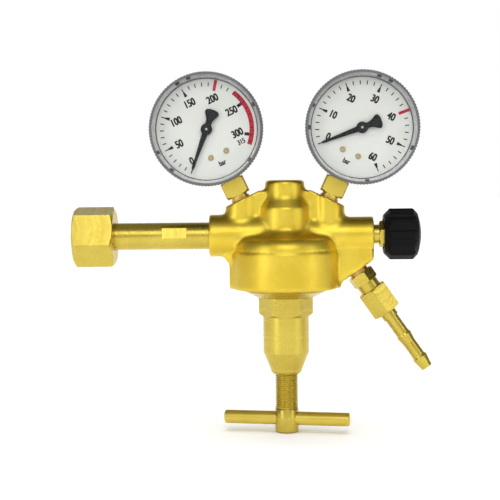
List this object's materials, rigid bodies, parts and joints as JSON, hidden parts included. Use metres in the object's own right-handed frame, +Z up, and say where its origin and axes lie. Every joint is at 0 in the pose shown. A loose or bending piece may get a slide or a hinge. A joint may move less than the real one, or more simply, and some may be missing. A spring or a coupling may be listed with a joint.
{
  "type": "nitrogen regulator",
  "caption": "Gas cylinder pressure regulator with two dial gauges, tee screw, outlet valve and hose tail.",
  "frame": {"origin": "centre of the inlet gasket's face, on the inlet axis", "axes": "+Z up, +X from the inlet nut towards the outlet valve, the dials face -Y"},
  "size_m": [0.2125, 0.0636, 0.2147],
  "materials": {
    "brass_forged": "satin, forged",
    "brass_machined": "turned",
    "copper": "satin",
    "bronze": "satin",
    "steel": "satin",
    "aluminium": "satin",
    "gauge_steel": "satin black",
    "clear_plastic": "clear",
    "dial_white": "matt white",
    "black_paint": "matt black",
    "black_plastic": "satin black",
    "rubber": "matt",
    "seal_white": "matt"
  },
  "bodies": {
    "root": {"body_forging": "brass_forged", "inlet_pipe": "brass_machined", "inlet_gasket": "seal_white", "inlet_filter": "bronze", "bonnet": "brass_machined", "diaphragm": "rubber", "slip_ring": "steel", "valve_capsule": "brass_machined", "capsule_seal": "rubber", "valve_insert": "seal_white", "poppet_spring": "steel", "main_spring": "steel", "valve_gland": "brass_machined", "gland_seal": "seal_white", "stem_seal": "rubber", "outlet_adapter": "brass_machined", "adapter_seal": "copper", "hose_tail": "brass_machined", "inlet_gauge_socket": "brass_machined", "inlet_gauge_washer": "copper", "inlet_gauge_case": "gauge_steel", "inlet_gauge_window": "clear_plastic", "inlet_gauge_dial": "dial_white", "inlet_gauge_dial_screws": "brass_machined", "inlet_gauge_bourdon_tube": "bronze", "inlet_gauge_tube_tip": "bronze", "inlet_gauge_movement_frame": "brass_machined", "outlet_gauge_socket": "brass_machined", "outlet_gauge_washer": "copper", "outlet_gauge_case": "gauge_steel", "outlet_gauge_window": "clear_plastic", "outlet_gauge_dial": "dial_white", "outlet_gauge_dial_screws": "brass_machined", "outlet_gauge_bourdon_tube": "bronze", "outlet_gauge_tube_tip": "bronze", "outlet_gauge_movement_frame": "brass_machined"},
    "inlet_nut": {"inlet_nut": "brass_machined"},
    "spring_seat": {"spring_seat": "steel", "thrust_ball": "steel"},
    "adjusting_screw": {"adjusting_screw": "brass_machined", "tee_bar": "brass_machined"},
    "valve_disc": {"valve_disc": "brass_machined", "disc_seal": "seal_white"},
    "valve_stem": {"valve_stem": "brass_machined", "hand_knob": "black_plastic", "knob_insert": "brass_machined"},
    "poppet": {"poppet": "brass_machined", "diaphragm_plate": "aluminium"},
    "outlet_nut": {"outlet_nut": "brass_machined"},
    "inlet_sector": {"inlet_gauge_sector_gear": "brass_machined"},
    "inlet_link": {"inlet_gauge_link": "brass_machined"},
    "inlet_pointer": {"inlet_gauge_pointer": "black_paint", "inlet_gauge_pinion_arbor": "brass_machined"},
    "outlet_sector": {"outlet_gauge_sector_gear": "brass_machined"},
    "outlet_link": {"outlet_gauge_link": "brass_machined"},
    "outlet_pointer": {"outlet_gauge_pointer": "black_paint", "outlet_gauge_pinion_arbor": "brass_machined"}
  },
  "joints": [
    {"name": "inlet_nut_spin", "type": "hinge", "parent": "root", "child": "inlet_nut", "pos_m": [0, 0, 0], "axis": [1, 0, 0], "continuous": true},
    {"name": "spring_seat_rise", "type": "slide", "parent": "root", "child": "spring_seat", "axis": [0, 0, 1], "range_m": [0, 0.015], "deforming": ["main_spring"]},
    {"name": "adjusting_screw_turn", "type": "hinge", "parent": "spring_seat", "child": "adjusting_screw", "pos_m": [0.111, 0, -0.108], "axis": [0, 0, 1], "range_deg": [0, 4320]},
    {"name": "valve_disc_lift", "type": "slide", "parent": "root", "child": "valve_disc", "axis": [1, 0, 0], "range_m": [0, 0.002]},
    {"name": "valve_stem_turn", "type": "hinge", "parent": "valve_disc", "child": "valve_stem", "pos_m": [0.171, 0, 0], "axis": [1, 0, 0], "range_deg": [0, 720]},
    {"name": "poppet_lift", "type": "slide", "parent": "root", "child": "poppet", "axis": [0, 0, 1], "range_m": [0, 0.0012], "stiffness_N_per_m": 400, "deforming": ["poppet_spring", "diaphragm"]},
    {"name": "outlet_nut_spin", "type": "hinge", "parent": "root", "child": "outlet_nut", "pos_m": [0.1541, 0, -0.0215], "axis": [0.5736, 0, -0.8192], "continuous": true},
    {"name": "inlet_sector_swing", "type": "hinge", "parent": "root", "child": "inlet_sector", "pos_m": [0.07754, 0, 0.05597], "axis": [0, 1, 0], "range_deg": [-45, 0], "stiffness_Nm_per_rad": 0.002},
    {"name": "inlet_link_swing", "type": "hinge", "parent": "inlet_sector", "child": "inlet_link", "pos_m": [0.08252, 0, 0.05553], "axis": [0, 1, 0], "range_deg": [0, 45]},
    {"name": "inlet_pointer_turn", "type": "hinge", "parent": "root", "child": "inlet_pointer", "pos_m": [0.06544, 0, 0.06301], "axis": [0, 1, 0], "range_deg": [0, 270]},
    {"name": "outlet_sector_swing", "type": "hinge", "parent": "root", "child": "outlet_sector", "pos_m": [0.15894, 0, 0.04921], "axis": [0, 1, 0], "range_deg": [-45, 0], "stiffness_Nm_per_rad": 0.002},
    {"name": "outlet_link_swing", "type": "hinge", "parent": "outlet_sector", "child": "outlet_link", "pos_m": [0.16181, 0, 0.04512], "axis": [0, 1, 0], "range_deg": [0, 45]},
    {"name": "outlet_pointer_turn", "type": "hinge", "parent": "root", "child": "outlet_pointer", "pos_m": [0.15656, 0, 0.06301], "axis": [0, 1, 0], "range_deg": [0, 270]}
  ],
  "couplings": [
    {"joint": "adjusting_screw_turn", "follows": "spring_seat_rise", "rad_per_m": 5026.5},
    {"joint": "valve_stem_turn", "follows": "valve_disc_lift", "rad_per_m": 6283.2},
    {"joint": "inlet_pointer_turn", "follows": "inlet_sector_swing", "ratio": -6},
    {"joint": "inlet_link_swing", "follows": "inlet_sector_swing", "ratio": -1},
    {"joint": "outlet_pointer_turn", "follows": "outlet_sector_swing", "ratio": -6},
    {"joint": "outlet_link_swing", "follows": "outlet_sector_swing", "ratio": -1}
  ]
}
